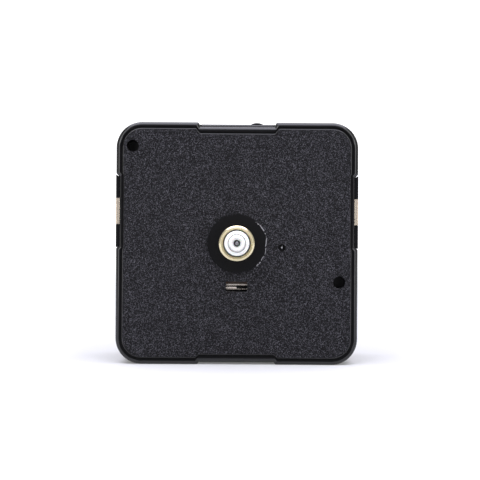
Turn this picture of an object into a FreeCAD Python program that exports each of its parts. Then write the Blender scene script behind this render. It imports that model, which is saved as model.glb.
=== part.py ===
import FreeCAD, Part
import math
import os

# Quartz clock movement. X is right seen from the front, Y is depth into the case, Z is up.
# The origin is on the hand axis, in the seat for the dial round the threaded bush, so the
# hand shafts point to -Y. Every gear turns about an axis along Y.

Vector = FreeCAD.Vector
os.makedirs("parts", exist_ok=True)

# Battery cell that the compartment takes
cell_diameter = 14.5
cell_clearance = 0.4

# Case outline, common to the front cover and the rear case
case_width = 56.0
case_corner_r = 6.0
case_wall = 1.5
case_edge_r = 0.6
overrun = 1.0

# Front cover
cover_thickness = 1.4
cover_skirt_wall = 1.2
cover_skirt_end = 5.0
rim_r = 0.9
face_inset = 1.4
face_window_step = 0.25
face_notch_step = 1.17
face_edge_r = 0.35
groove_width = 0.35
groove_depth = 0.4
boss_r = 6.85
boss_height = 0.15
boss_edge_r = 0.1
socket_r = 1.4
socket_depth = 2.6
socket_wall = 0.8
socket_floor = 0.5
upper_socket_inset_x = 3.9
upper_socket_inset_z = 5.6
lower_socket_inset_x = 4.33
lower_socket_z = -8.87
slot_width = 4.93
slot_height = 2.28
slot_centre_z = -9.98
pad_r = 1.2
pad_inset_x = 10.0
pad_inset_z = 6.0

# Notches for the latches and windows for the contacts in the outline
notch_half_width = 9.0
notch_slope = 0.45
notch_spread_share = 0.36
notch_corner_r = 0.5
notch_depth = 1.03
lower_notch_share = 0.65
window_step = 0.75
latch_recess = 0.3
latch_thickness = 0.95
latch_round_r = 0.85
latch_end_gap = 0.2
latch_clearance = 0.1
latch_slot_half_width = 3.0
latch_slot_length = 1.5
latch_slot_lead = 0.9
lug_height = 0.45

# Rear case
lip_thickness = 1.0
lip_length = 1.0
lip_root = 1.5
joint_clearance = 0.1
compartment_wall = 1.25
compartment_bottom_z = -1.35
compartment_floor = 1.0
window_wall = 0.75
window_wall_stand_out = 0.05
window_wall_front = 1.0
window_end_gap = 0.08
window_end_flare = 0.25
rear_plate = 1.5
pillar_r = 2.0
pillar_inset = 4.6
gate_mark_gap = 0.1
gate_mark_width = 2.9
gate_mark_height = 0.4
gate_mark_length = 0.8
bearing_ear_r = 2.0

# Running and seating clearances
running_clearance = 0.05
tube_clearance = 0.13
end_play = 0.05
layer_gap = 0.25

# Gear train thicknesses
washer_thickness = 0.15
washer_r = 4.7
motion_wheel_thickness = 0.7
train_wheel_thickness = 0.6
middle_plate_thickness = 0.8

# Tooth form, in shares of the module and of the tooth pitch
addendum_share = 0.8
dedendum_share = 1.0
tooth_root_share = 0.5
tooth_tip_share = 0.2

# Teeth of each gear
cannon_teeth = 12
motion_teeth = 36
motion_pinion_teeth = 10
hour_teeth = 40
centre_teeth = 64
third_pinion_teeth = 8
third_teeth = 60
seconds_pinion_teeth = 8
seconds_teeth = 60
intermediate_pinion_teeth = 12
intermediate_teeth = 60
rotor_pinion_teeth = 10

# Arbor places: distances between centres and directions, counted from +X towards +Z
motion_distance = 10.47
motion_angle = math.radians(-5.15)
third_distance = 9.72
third_angle = math.radians(20)
intermediate_distance = 9.6
intermediate_angle = math.radians(-150)
rotor_distance = 7.7
rotor_angle = math.radians(-110)
setting_angle = math.radians(-70)

# Hand shafts
bush_r = 4.0
bush_length = 7.0
bush_chamfer = 0.35
bush_root_r = 3.6
bush_shoulder_depth = 0.1
bush_mouth = 0.25
bush_clearance = 0.35
hour_seat_r = 2.75
hour_seat_length = 2.6
hour_seat_edge = 0.2
hour_tube_r = 2.55
hour_tube_bore_r = 2.0
hour_tube_stand_out = 3.0
minute_tube_tip_r = 1.6
minute_tube_bore_r = 0.75
minute_tube_mouth_r = 1.22
minute_tube_mouth_depth = 0.4
minute_tube_stand_out = 3.5
minute_tube_hidden = 0.6
minute_tube_cone = 0.5
minute_tube_edge = 0.2
seconds_arbor_r = 0.57
seconds_arbor_taper = 0.3
seconds_neck_r = 0.24
seconds_neck_length = 0.5
seconds_seat_r = 0.4
seconds_seat_stand_out = 1.1
seconds_seat_edge = 0.2

# Arbors and pivots behind the front cover
cannon_journal_r = 1.6
centre_seat_r = 1.3
centre_seat_stub = 0.05
clutch_thickness = 0.1
clutch_r = 3.2
clutch_arm_width = 1.1
clutch_arms = 3
train_arbor_r = 0.45
pivot_r = 0.25
pivot_depth = 0.6
hub_length = 0.1
motion_arbor_r = 0.45
motion_arbor_dome_height = 0.33
motion_pivot_window_r = 0.83
motion_pivot_window_depth = 0.7
motion_arbor_recess = 0.4
setting_arbor_r = 1.0
setting_collar_r = 1.7
setting_collar_gap = 0.1
setting_collar_thickness = 1.0
knob_r = 5.0
knob_thickness = 2.7
knob_stand_out = 1.0
knob_flutes = 24
knob_flute_r = 0.45
knob_coin_slot_width = 1.0
knob_coin_slot_depth = 0.6
knob_pocket_clearance = 0.6
knob_pocket_wall = 1.2
knob_pocket_floor = 1.2

# Stepping motor
magnet_r = 3.0
magnet_bore_r = 1.1
magnet_thickness = 1.7
magnet_front_gap = 0.3
rotor_gap = 0.4
stator_thickness = 0.8
stator_front_gap = 0.9
stator_bar_top_z = -9.69
stator_bar_height = 4.8
stator_eye_wall = 1.5
stator_left_x = -16.0
stator_right_x = 12.0
stator_leg_width = 4.0
coil_case_gap = 0.3
core_height = 3.4
core_thickness = 1.0
bobbin_eye_gap = 0.45
bobbin_leg_gap = 0.6
bobbin_wall = 0.5
bobbin_flange = 0.8
bobbin_flange_size = 6.0
winding_r = 2.8
screw_r = 0.8
screw_clearance = 0.1
screw_head_r = 1.6
screw_head_height = 0.9
screw_length = 5.0
screw_slot_width = 0.4
screw_slot_depth = 0.4
motor_post_r = 2.0
rotor_post_r = 1.5

# Circuit board and what it carries
board_side_gap = 1.6
board_top_gap = 0.95
board_thickness = 1.0
board_gap = 0.1
board_corner_r = 0.8
board_post_r = 1.8
board_peg_r = 0.75
board_peg_inset = 5.4
board_peg_stand_out = 0.6
crystal_r = 1.5
crystal_length = 8.0
crystal_peg_gap = 1.7
crystal_base_length = 0.8
crystal_base_r = 1.55
capacitor_crystal_gap = 3.4
capacitor_width = 2.6
capacitor_height = 3.2
capacitor_depth = 1.6
chip_capacitor_gap = 3.5
chip_r = 3.0
chip_height = 1.1

# Battery contacts. The leaf and the dimple leave 49.7 mm between them, so a cell 50.5 mm long
# presses the leaf in by 0.8 mm.
contact_thickness = 0.25
contact_height = 6.0
contact_stand_out = 0.1
contact_bend_share = 0.95
contact_plate_height = 10.0
contact_plate_margin = 1.2
contact_recess_clearance = 0.05
contact_tab_length = 3.8
contact_tail_width = 2.0
contact_tail_inset = 4.1
contact_tail_gap = 0.3
contact_foot_height = 0.6
contact_foot_inset = 2.4
positive_dimple_r = 2.75
positive_dimple_tip_r = 1.6
positive_dimple_height = 1.4
negative_leaf_bulge = 3.0
negative_leaf_height = 7.0

# Middle plate
middle_plate_gap = 0.7
view_opening_half_width = 3.4
view_opening_bottom_z = -10.88
view_opening_top_z = -8.2
view_rib_top_z = -9.93
view_rib_height = 0.27
view_rib_wide_height = 0.65

# Outline and depths that follow from the values above
half_width = case_width / 2
notch_floor_half_width = notch_half_width - notch_slope
socket_places = ((upper_socket_inset_x - half_width, half_width - upper_socket_inset_z),
                 (half_width - lower_socket_inset_x, lower_socket_z))
pad_x = half_width - pad_inset_x
pad_z = half_width - pad_inset_z
pillar_place = half_width - pillar_inset
lip_outer = half_width - cover_skirt_wall - joint_clearance
lip_outer_r = case_corner_r - cover_skirt_wall - joint_clearance
lip_inner = lip_outer - lip_thickness
middle_plate_half_width = lip_inner - middle_plate_gap
middle_plate_corner_r = lip_outer_r - lip_thickness - middle_plate_gap

compartment_height = cell_diameter + cell_clearance + 2 * compartment_wall
window_bottom_z = compartment_bottom_z
window_top_z = compartment_bottom_z + compartment_height
compartment_centre_z = compartment_bottom_z + compartment_height / 2
window_wall_outer_x = half_width + window_wall_stand_out
cavity_half_length = window_wall_outer_x - window_wall
contact_inner_x = cavity_half_length - contact_thickness
contact_outer_x = half_width + contact_stand_out
contact_leg_x = contact_outer_x - contact_thickness
contact_fold_front = window_wall_front - contact_thickness
contact_leg_end = contact_fold_front + contact_tab_length
contact_tail_x = cavity_half_length - contact_tail_inset

board_half_width = half_width - case_wall - board_side_gap
board_top_z = window_bottom_z - board_top_gap
board_centre_z = (board_top_z + stator_bar_top_z) / 2
board_peg_x = board_half_width - board_peg_inset
crystal_x = board_peg_x - board_post_r - crystal_peg_gap - crystal_length
capacitor_x = crystal_x - capacitor_crystal_gap - capacitor_width
chip_x = capacitor_x - chip_capacitor_gap - chip_r
coil_axis_z = bobbin_flange_size / 2 + coil_case_gap - lip_inner
bobbin_right_x = stator_right_x - stator_leg_width - bobbin_leg_gap

hour_tube_length = bush_length + hour_tube_stand_out
minute_tube_length = hour_tube_length + minute_tube_stand_out
seconds_arbor_length = minute_tube_length + seconds_seat_stand_out

face_y = boss_height
cover_back = face_y + cover_thickness
washer_back = cover_back + washer_thickness
hour_front = washer_back + end_play
hour_back = hour_front + motion_wheel_thickness
cannon_front = hour_back + layer_gap
cannon_back = cannon_front + motion_wheel_thickness
middle_front = cannon_back + layer_gap
middle_back = middle_front + middle_plate_thickness
centre_front = middle_back + layer_gap
centre_back = centre_front + train_wheel_thickness
third_front = centre_back + layer_gap
third_back = third_front + train_wheel_thickness
seconds_front = third_back + layer_gap
seconds_back = seconds_front + train_wheel_thickness
floor_front = seconds_back + layer_gap
floor_back = floor_front + compartment_floor
case_back = floor_back + cell_diameter + cell_clearance
cell_axis_y = floor_back + (cell_diameter + cell_clearance) / 2
board_front = floor_back + board_gap
board_back = board_front + board_thickness
stator_front = third_back + stator_front_gap
stator_back = stator_front + stator_thickness
core_back = stator_back + core_thickness
magnet_front = third_back + magnet_front_gap
magnet_back = magnet_front + magnet_thickness
pocket_floor_back = case_back + knob_stand_out - knob_thickness - end_play
pocket_floor_front = pocket_floor_back - knob_pocket_floor
rear_plate_front = case_back - rear_plate


def place(distance, angle, start=(0.0, 0.0)):
    """Return the point at a distance and direction from another point."""
    return (start[0] + distance * math.cos(angle), start[1] + distance * math.sin(angle))


hand_axis = (0.0, 0.0)
motion_axis = place(motion_distance, motion_angle)
third_axis = place(third_distance, third_angle)
intermediate_axis = place(intermediate_distance, intermediate_angle)
rotor_axis = place(rotor_distance, rotor_angle, intermediate_axis)
setting_axis = place(motion_distance, setting_angle, motion_axis)
bobbin_left_x = rotor_axis[0] + magnet_r + rotor_gap + stator_eye_wall + bobbin_eye_gap

# Modules follow from the distances between centres
motion_module = 2 * motion_distance / (cannon_teeth + motion_teeth)
hour_module = 2 * motion_distance / (motion_pinion_teeth + hour_teeth)
centre_module = 2 * third_distance / (third_pinion_teeth + centre_teeth)
third_module = 2 * third_distance / (seconds_pinion_teeth + third_teeth)
seconds_module = 2 * intermediate_distance / (intermediate_pinion_teeth + seconds_teeth)
intermediate_module = 2 * rotor_distance / (rotor_pinion_teeth + intermediate_teeth)


def block(x_low, x_high, y_low, y_high, z_low, z_high):
    """A box given by its limits."""
    corner = Vector(x_low, y_low, z_low)
    return Part.makeBox(x_high - x_low, y_high - y_low, z_high - z_low, corner)


def rod(radius, y_low, y_high, axis=hand_axis):
    """A cylinder along Y."""
    return Part.makeCylinder(radius, y_high - y_low, Vector(axis[0], y_low, axis[1]), Vector(0, 1, 0))


def ring(outer_r, bore_r, y_low, y_high, axis=hand_axis):
    """A cylinder along Y with a round hole through it."""
    return rod(outer_r, y_low, y_high, axis).cut(rod(bore_r, y_low - overrun, y_high + overrun, axis))


def cone(radius_low, radius_high, y_low, y_high, axis=hand_axis):
    """A cone frustum along Y."""
    base = Vector(axis[0], y_low, axis[1])
    return Part.makeCone(radius_low, radius_high, y_high - y_low, base, Vector(0, 1, 0))


def prism(points, y_low, y_high):
    """A straight-sided outline of (x, z) points, drawn out along Y."""
    corners = [Vector(x, y_low, z) for x, z in points]
    corners.append(corners[0])
    face = Part.Face(Part.makePolygon(corners))
    return face.extrude(Vector(0, y_high - y_low, 0))


def rounded_block(half_x, half_z, corner_r, y_low, y_high):
    """A block centred on the hand axis, with its four corners rounded."""
    solid = block(-half_x, half_x, y_low, y_high, -half_z, half_z)
    corners = [edge for edge in solid.Edges if edge.BoundBox.YLength > 0 and edge.BoundBox.XLength < half_x]
    upright = [edge for edge in corners if edge.BoundBox.ZLength < half_z]
    return solid.makeFillet(corner_r, upright)


def joined(solids):
    """Join solids that touch into one."""
    whole = solids[0]
    for solid in solids[1:]:
        whole = whole.fuse(solid)
    return whole.removeSplitter()


def cut_away(solid, tools):
    """Cut each tool from a solid."""
    for tool in tools:
        solid = solid.cut(tool)
    return solid


def mirrored_x(solid):
    """The same solid on the other side of the hand axis."""
    return solid.mirror(Vector(0, 0, 0), Vector(1, 0, 0))


def mirrored_z(solid):
    """The same solid below the hand axis."""
    return solid.mirror(Vector(0, 0, 0), Vector(0, 0, 1))


def export(name, shape):
    """Write one piece to its file."""
    shape.exportStep("parts/" + name + ".step")


def stepped_outline(inset, notch_step, window_depth, y):
    """The case outline moved in by an inset, with its two notches and two windows.

    The notches are at the middle of the top and bottom, the windows at the sides.
    The lower notch is shallower, and a notch spreads as the outline moves in.
    """
    side = half_width - inset
    corner = case_corner_r - inset
    bend = corner * math.cos(math.pi / 4)
    notch = notch_half_width + inset * notch_spread_share
    floor = notch_floor_half_width
    lower_step = notch_step * lower_notch_share
    top_right = [(floor, side - notch_step), (notch, side), (side - corner, side)]
    right = [(side, side - corner), (side, window_top_z), (side - window_depth, window_top_z - window_depth),
             (side - window_depth, window_bottom_z + window_depth), (side, window_bottom_z),
             (side, corner - side)]
    bottom_right = [(side - corner, -side), (notch, -side), (floor, lower_step - side)]
    middle = side - corner + bend
    half_outline = top_right + right + bottom_right
    left = [(-x, z) for x, z in reversed(half_outline)]
    points = half_outline + left
    arcs = {(side - corner, side): (middle, middle), (side, corner - side): (middle, -middle),
            (corner - side, -side): (-middle, -middle), (-side, side - corner): (-middle, middle)}
    edges = []
    for index, start in enumerate(points):
        end = points[(index + 1) % len(points)]
        first = Vector(start[0], y, start[1])
        last = Vector(end[0], y, end[1])
        if start in arcs:
            through = arcs[start]
            edges.append(Part.Arc(first, Vector(through[0], y, through[1]), last).toShape())
        elif first.distanceToPoint(last) > 0:
            edges.append(Part.makeLine(first, last))
    return Part.Wire(edges)


def stepped_plate(inset, notch_step, window_depth, y_low, y_high):
    """A plate with the stepped outline."""
    face = Part.Face(stepped_outline(inset, notch_step, window_depth, y_low))
    return face.extrude(Vector(0, y_high - y_low, 0))


def gear(teeth, module, phase, y_low, y_high, axis):
    """A spur gear with slim teeth. The phase is the direction of one tooth."""
    pitch = 2 * math.pi / teeth
    root_r = module * (teeth / 2 - dedendum_share)
    tip_r = module * (teeth / 2 + addendum_share)
    corners = ((root_r, -tooth_root_share), (tip_r, -tooth_tip_share),
               (tip_r, tooth_tip_share), (root_r, tooth_root_share))
    points = []
    for tooth in range(teeth):
        for radius, share in corners:
            angle = phase + pitch * (tooth + share / 2)
            points.append(place(radius, angle, axis))
    return prism(points, y_low, y_high)


def meshing_phase(teeth, driver_teeth, driver_phase, direction):
    """The phase that sets a gear's gap on its neighbour's tooth.

    The direction is that from the neighbour's axis to this gear's axis.
    """
    lead = (driver_phase - direction) * driver_teeth / teeth
    return direction + math.pi + math.pi / teeth - lead


# Phases, each mesh taken from the gear that is nearer the hands
cannon_phase = motion_angle
motion_phase = meshing_phase(motion_teeth, cannon_teeth, cannon_phase, motion_angle)
setting_phase = meshing_phase(cannon_teeth, motion_teeth, motion_phase, setting_angle)
motion_pinion_phase = motion_angle + math.pi
hour_phase = meshing_phase(hour_teeth, motion_pinion_teeth, motion_pinion_phase, motion_angle + math.pi)
centre_phase = third_angle
third_pinion_phase = meshing_phase(third_pinion_teeth, centre_teeth, centre_phase, third_angle)
seconds_pinion_phase = third_angle
third_phase = meshing_phase(third_teeth, seconds_pinion_teeth, seconds_pinion_phase, third_angle)
seconds_phase = intermediate_angle
intermediate_pinion_phase = meshing_phase(
    intermediate_pinion_teeth, seconds_teeth, seconds_phase, intermediate_angle)
intermediate_phase = rotor_angle
rotor_pinion_phase = meshing_phase(rotor_pinion_teeth, intermediate_teeth, intermediate_phase, rotor_angle)


def along_x(points, x_low, x_high):
    """A straight-sided outline of (y, z) points, drawn out along X."""
    corners = [Vector(x_low, y, z) for y, z in points]
    corners.append(corners[0])
    face = Part.Face(Part.makePolygon(corners))
    return face.extrude(Vector(x_high - x_low, 0, 0))


def is_notch_corner(edge):
    """Whether an edge of the cover's plate is an outer corner at the end of a notch."""
    box = edge.BoundBox
    outer = max(abs(box.ZMin), abs(box.ZMax)) > half_width - notch_depth / 4
    near_middle = max(abs(box.XMin), abs(box.XMax)) < half_width - case_corner_r
    return box.YLength > cover_thickness / 2 and outer and near_middle


def dome_radius(half_width, height):
    """The radius of the ball or disc whose cap has this half width and height."""
    return (half_width ** 2 + height ** 2) / (2 * height)


def edges_before(solid, depth):
    """The edges of a solid that lie wholly in front of a depth."""
    return [edge for edge in solid.Edges if edge.BoundBox.YMax < depth]


def skirt_with_latch_lugs():
    """The wall behind the cover's rim, drawn in at the two latches."""
    inner = half_width - cover_skirt_wall
    outer_block = rounded_block(half_width, half_width, case_corner_r, cover_back, cover_skirt_end)
    inner_r = case_corner_r - cover_skirt_wall
    skirt = outer_block.cut(rounded_block(inner, inner, inner_r, 0, cover_skirt_end + overrun))
    window = block(inner - overrun, half_width + overrun, cover_back, cover_skirt_end + overrun,
                   window_bottom_z, window_top_z)
    notch_end = notch_half_width + notch_corner_r
    notch = block(-notch_end, notch_end, cover_back, cover_skirt_end + overrun,
                  inner - overrun, half_width + overrun)
    skirt = cut_away(skirt, (window, mirrored_x(window), notch, mirrored_z(notch)))
    wall_top = half_width - latch_recess - latch_thickness - latch_clearance
    wall_bottom = wall_top - cover_skirt_wall + latch_clearance
    end = notch_half_width + cover_skirt_wall
    wall = block(-end, end, cover_back, cover_skirt_end, wall_bottom, wall_top)
    web = block(notch_half_width, end, cover_back, cover_skirt_end, wall_bottom, inner + latch_clearance)
    lug_front = cover_back + joint_clearance + latch_slot_lead + latch_clearance
    lug_back = lug_front + latch_slot_length - 2 * latch_clearance
    lug_end = latch_slot_half_width - latch_clearance
    lug = along_x(((lug_front, wall_top), (lug_front, wall_top + lug_height), (lug_back, wall_top)),
                  -lug_end, lug_end)
    latch_parts = [wall, web, mirrored_x(web), lug]
    return joined([skirt] + latch_parts + [mirrored_z(part) for part in latch_parts])


def front_cover():
    """The front plate with its rounded rim, groove, boss, sockets and view openings."""
    plate = stepped_plate(0, notch_depth, window_step, face_y, cover_back)
    corners = [edge for edge in plate.Edges if is_notch_corner(edge)]
    plate = plate.makeFillet(notch_corner_r, corners)
    groove_back = face_y + groove_depth
    land_middle = (face_y + groove_back) / 2
    plate = plate.makeFillet(rim_r, edges_before(plate, land_middle))
    groove = stepped_plate(face_inset - groove_width, face_notch_step, face_window_step, face_y, groove_back)
    face = stepped_plate(face_inset, face_notch_step, face_window_step, face_y, groove_back)
    face = face.makeFillet(face_edge_r, edges_before(face, land_middle))
    boss = rod(boss_r, 0, cover_back)
    boss = boss.makeFillet(boss_edge_r, edges_before(boss, boss_height / 2))
    socket_back = face_y + socket_depth
    cups = [rod(socket_r + socket_wall, face_y, socket_back + socket_floor, spot) for spot in socket_places]
    pads = [rod(pad_r, face_y, middle_front, (x, z)) for x in (-pad_x, pad_x) for z in (-pad_z, pad_z)]
    cover = joined([plate.cut(groove), face, skirt_with_latch_lugs(), boss] + cups + pads)
    sockets = [rod(socket_r, -overrun, socket_back, spot) for spot in socket_places]
    slot = block(-slot_width / 2, slot_width / 2, -overrun, cover_back + overrun,
                 slot_centre_z - slot_height / 2, slot_centre_z + slot_height / 2)
    bush_seat = joined([rod(bush_r, -overrun, bush_shoulder_depth),
                        rod(bush_root_r, 0, cover_back + overrun)])
    pivot_window = rod(motion_pivot_window_r, -overrun, face_y + motion_pivot_window_depth, motion_axis)
    pivot_bearing = rod(motion_arbor_r + running_clearance, 0, cover_back + overrun, motion_axis)
    recess_end = contact_height / 2 + contact_recess_clearance
    contact_recess = block(contact_inner_x - contact_recess_clearance, half_width + overrun,
                           -overrun, cover_back + overrun,
                           compartment_centre_z - recess_end, compartment_centre_z + recess_end)
    openings = sockets + [slot, bush_seat, pivot_window, pivot_bearing, contact_recess]
    return cut_away(cover, openings + [mirrored_x(contact_recess)])


def threaded_bush():
    """The brass bush, with a narrower root pressed into the cover's boss.

    Its outside is the full thread size.
    """
    bush = rod(bush_r, -bush_length, bush_shoulder_depth)
    bush = bush.makeChamfer(bush_chamfer, edges_before(bush, -bush_length / 2))
    bush = joined([bush, rod(bush_root_r, 0, cover_back)])
    bore_r = hour_seat_r + bush_clearance
    bore = rod(bore_r, -bush_length - overrun, cover_back + overrun)
    mouth = cone(bore_r + bush_mouth, bore_r, -bush_length, bush_mouth - bush_length)
    return cut_away(bush, (bore, mouth))


def hour_wheel_washer():
    """The thin washer that the hour wheel bears on."""
    return ring(washer_r, hour_seat_r + bush_clearance, cover_back, washer_back)


def latch_arm():
    """The upper latch of the rear case, with the slot that takes the cover's lug."""
    top = half_width - latch_recess
    bottom = top - latch_thickness
    end = notch_floor_half_width - latch_end_gap
    front = cover_back + joint_clearance
    arm = block(-end, end, front, cover_skirt_end + case_wall, bottom, top)
    round_back = front + latch_round_r
    round_low = bottom + latch_round_r
    outer_front = [edge for edge in arm.Edges
                   if edge.BoundBox.YMax < round_back and edge.BoundBox.ZMin > round_low]
    arm = arm.makeFillet(latch_round_r, outer_front)
    slot_front = front + latch_slot_lead
    slot = block(-latch_slot_half_width, latch_slot_half_width, slot_front, slot_front + latch_slot_length,
                 bottom - overrun, top + overrun)
    return arm.cut(slot)


def gate_mark():
    """The low rounded mark that the mould's gate left on the upper latch."""
    mark_r = dome_radius(gate_mark_width / 2, gate_mark_height)
    arm_top = half_width - latch_recess
    left = latch_slot_half_width + gate_mark_gap
    front = cover_back + joint_clearance + latch_round_r
    disc = rod(mark_r, front, front + gate_mark_length,
               (left + gate_mark_width / 2, arm_top + gate_mark_height - mark_r))
    return disc.common(block(left, left + gate_mark_width, front, front + gate_mark_length,
                             arm_top - latch_thickness / 2, arm_top + gate_mark_height))


def rear_lip():
    """The lip of the rear case that fits inside the cover's skirt."""
    front = cover_skirt_end - lip_length
    back = cover_skirt_end + lip_root
    lip = rounded_block(lip_outer, lip_outer, lip_outer_r, front, back)
    lip = lip.cut(rounded_block(lip_inner, lip_inner, lip_outer_r - lip_thickness,
                                front - overrun, back + overrun))
    notch_end = notch_half_width + cover_skirt_wall + joint_clearance
    notch = block(-notch_end, notch_end, front - overrun, cover_skirt_end + joint_clearance,
                  lip_inner - overrun, lip_outer + overrun)
    return cut_away(lip, (notch, mirrored_z(notch)))


def window_wall_right():
    """The thin right-hand wall that closes a side window and carries a contact.

    Its ends slope like the steps in the cover's outline, with a gap that opens outwards.
    """
    inner_end = half_width - cavity_half_length + window_end_gap
    outer_end = half_width - window_wall_outer_x + window_end_gap + window_end_flare
    outline = ((cavity_half_length, window_bottom_z + inner_end),
               (window_wall_outer_x, window_bottom_z + outer_end),
               (window_wall_outer_x, window_top_z - outer_end),
               (cavity_half_length, window_top_z - inner_end))
    recess_end = contact_height / 2 + contact_recess_clearance
    recess = block(contact_leg_x, half_width + overrun, 0, contact_leg_end + contact_recess_clearance,
                   compartment_centre_z - recess_end, compartment_centre_z + recess_end)
    return prism(outline, window_wall_front, floor_front).cut(recess)


def knob_pocket():
    """The round tub in the rear plate that the setting knob turns in, and its hollow."""
    pocket_r = knob_r + knob_pocket_clearance
    tub = rod(pocket_r + knob_pocket_wall, pocket_floor_front, case_back, setting_axis)
    hollow = rod(pocket_r, pocket_floor_back, case_back + overrun, setting_axis)
    return tub, hollow


def rear_case():
    """The rear case: tray, battery compartment, posts, latches and knob tub."""
    front = cover_skirt_end
    outside = rounded_block(half_width, half_width, case_corner_r, front, case_back)
    back_edges = [edge for edge in outside.Edges if edge.BoundBox.YMin > case_back - case_edge_r]
    outside = outside.makeFillet(case_edge_r, back_edges)
    inside_half = half_width - case_wall
    inside = rounded_block(inside_half, inside_half, case_corner_r - case_wall, 0, rear_plate_front)
    tray = outside.cut(inside)
    compartment = block(-inside_half, inside_half, floor_front, rear_plate_front + overrun,
                        window_bottom_z, window_top_z)
    ear_axis_z = intermediate_axis[1]
    ear = block(intermediate_axis[0] - bearing_ear_r, intermediate_axis[0] + bearing_ear_r,
                floor_front, floor_back, ear_axis_z, window_bottom_z)
    ear_end = rod(bearing_ear_r, floor_front, floor_back, intermediate_axis)
    pillars = [rod(pillar_r, middle_back, case_back - rear_plate / 2, (x, z))
               for x in (-pillar_place, pillar_place) for z in (-pillar_place, pillar_place)]
    posts = []
    for peg in board_peg_places():
        posts.append(rod(board_post_r, board_back, case_back - rear_plate / 2, peg))
        posts.append(rod(board_peg_r, board_front - board_peg_stand_out, board_back + overrun, peg))
    for spot in screw_places():
        posts.append(rod(motor_post_r, core_back, case_back - rear_plate / 2, spot))
    posts.append(rod(rotor_post_r, rotor_post_front(), case_back - rear_plate / 2, rotor_axis))
    tub, knob_hollow = knob_pocket()
    arm = latch_arm()
    case = joined([tray, compartment, ear, ear_end, rear_lip(), arm, mirrored_z(arm), gate_mark(), tub]
                  + pillars + posts)
    cavity = block(-cavity_half_length, cavity_half_length, floor_back, case_back + overrun,
                   window_bottom_z + compartment_wall, window_top_z - compartment_wall)
    contact_way = block(lip_inner - overrun, cavity_half_length, 0, floor_front,
                        window_bottom_z, window_top_z)
    window_front = block(cavity_half_length, half_width + overrun, 0, front, window_bottom_z, window_top_z)
    slot_end = contact_height / 2 + contact_recess_clearance
    floor_slot = block(contact_inner_x - contact_recess_clearance, cavity_half_length,
                       floor_front - overrun, floor_back + overrun,
                       compartment_centre_z - slot_end, compartment_centre_z + slot_end)
    sided = [contact_way, window_front, floor_slot]
    bores = [knob_hollow, cavity] + sided + [mirrored_x(tool) for tool in sided]
    pivot_hole_r = pivot_r + running_clearance
    hole_end = floor_front + pivot_depth + end_play
    bores += [rod(pivot_hole_r, floor_front - overrun, hole_end, axis)
              for axis in (hand_axis, third_axis, intermediate_axis)]
    bores.append(rod(pivot_hole_r, 0, rotor_post_front() + pivot_depth + end_play, rotor_axis))
    bores.append(rod(setting_arbor_r + running_clearance, 0, case_back, setting_axis))
    bores += [rod(screw_r, 0, stator_front + screw_length, spot) for spot in screw_places()]
    case = cut_away(case, bores)
    wall = window_wall_right()
    return joined([case, wall, mirrored_x(wall)])


def rotor_post_front():
    """Where the rotor's rear post begins."""
    return magnet_back + magnet_front_gap


def board_peg_places():
    """The two pegs that the circuit board sits on."""
    return ((-board_peg_x, board_centre_z), (board_peg_x, board_centre_z))


def screw_places():
    """The two motor screws, in the middle of the stator's legs."""
    return ((stator_left_x + stator_leg_width / 2, coil_axis_z),
            (stator_right_x - stator_leg_width / 2, coil_axis_z))


def middle_plate():
    """The plate that carries the front pivots, seen through the slot as a dark rib."""
    plate = rounded_block(middle_plate_half_width, middle_plate_half_width, middle_plate_corner_r,
                          middle_front, middle_back)
    through = (middle_front - overrun, middle_back + overrun)
    holes = [rod(cannon_journal_r + running_clearance, *through),
             rod(motion_arbor_r + running_clearance, *through, motion_axis),
             rod(setting_arbor_r + running_clearance, *through, setting_axis)]
    holes += [rod(pivot_r + running_clearance, *through, axis)
              for axis in (third_axis, intermediate_axis, rotor_axis)]
    holes.append(block(-view_opening_half_width, view_opening_half_width, *through,
                       view_opening_bottom_z, view_opening_top_z))
    rib = block(-view_opening_half_width, 0, middle_front, middle_back,
                view_rib_top_z - view_rib_height, view_rib_top_z)
    wide_rib = block(0, view_opening_half_width, middle_front, middle_back,
                     view_rib_top_z - view_rib_wide_height, view_rib_top_z)
    return joined([cut_away(plate, holes), rib, wide_rib])


def stator_plate():
    """The soft-iron plate with the rotor eye and two legs."""
    bar = block(stator_left_x, stator_right_x, stator_front, stator_back,
                stator_bar_top_z - stator_bar_height, stator_bar_top_z)
    leg_end_z = coil_axis_z - core_height / 2
    legs = [block(x, x + stator_leg_width, stator_front, stator_back, leg_end_z, stator_bar_top_z)
            for x in (stator_left_x, stator_right_x - stator_leg_width)]
    eye = rod(magnet_r + rotor_gap + stator_eye_wall, stator_front, stator_back, rotor_axis)
    plate = joined([bar, eye] + legs)
    holes = [rod(screw_r + screw_clearance, 0, case_back, spot) for spot in screw_places()]
    holes.append(rod(magnet_r + rotor_gap, 0, case_back, rotor_axis))
    return cut_away(plate, holes)


def coil_core():
    """The bar through the coil, lapped on the stator's legs."""
    bar = block(stator_left_x, stator_right_x, stator_back, core_back,
                coil_axis_z - core_height / 2, coil_axis_z + core_height / 2)
    return cut_away(bar, [rod(screw_r + screw_clearance, 0, case_back, spot) for spot in screw_places()])


def core_block(margin, x_low, x_high):
    """A block round the coil core with an even margin."""
    half_height = core_height / 2 + margin
    return block(x_low, x_high, stator_back - margin, core_back + margin,
                 coil_axis_z - half_height, coil_axis_z + half_height)


def coil_bobbin():
    """The plastic former with its two square flanges."""
    axis_y = (stator_back + core_back) / 2
    half = bobbin_flange_size / 2
    sleeve = core_block(running_clearance + bobbin_wall, bobbin_left_x, bobbin_right_x)
    flanges = [block(x, x + bobbin_flange, axis_y - half, axis_y + half,
                     coil_axis_z - half, coil_axis_z + half)
               for x in (bobbin_left_x, bobbin_right_x - bobbin_flange)]
    hollow = core_block(running_clearance, bobbin_left_x - overrun, bobbin_right_x + overrun)
    return joined([sleeve] + flanges).cut(hollow)


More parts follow.
